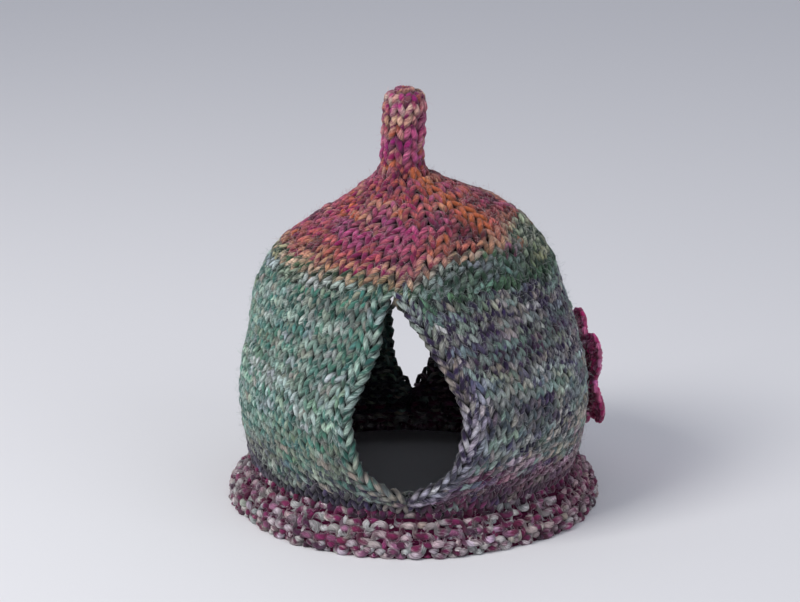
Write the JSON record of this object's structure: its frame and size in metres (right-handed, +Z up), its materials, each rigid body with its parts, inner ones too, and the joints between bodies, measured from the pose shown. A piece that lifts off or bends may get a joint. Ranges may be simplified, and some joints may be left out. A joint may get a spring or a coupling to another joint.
{
  "type": "tea cosy",
  "caption": "Knitted domed tea cosy with a flared garter-stitch brim, a spout opening, a handle opening, a stalk on top and a crocheted flower on one side.",
  "frame": {"origin": "on the table, under the middle of the brim", "axes": "+Z up along the stalk, -Y out of the spout opening, +X towards the side with the flower"},
  "size_m": [0.1625, 0.1602, 0.1754],
  "materials": {
    "wool": "matt fuzzy two-ply wool in teal, purple, pink and cream",
    "flower_wool": "matt magenta wool"
  },
  "bodies": {
    "root": {"cosy": "wool", "flower": "flower_wool"}
  },
  "joints": []
}
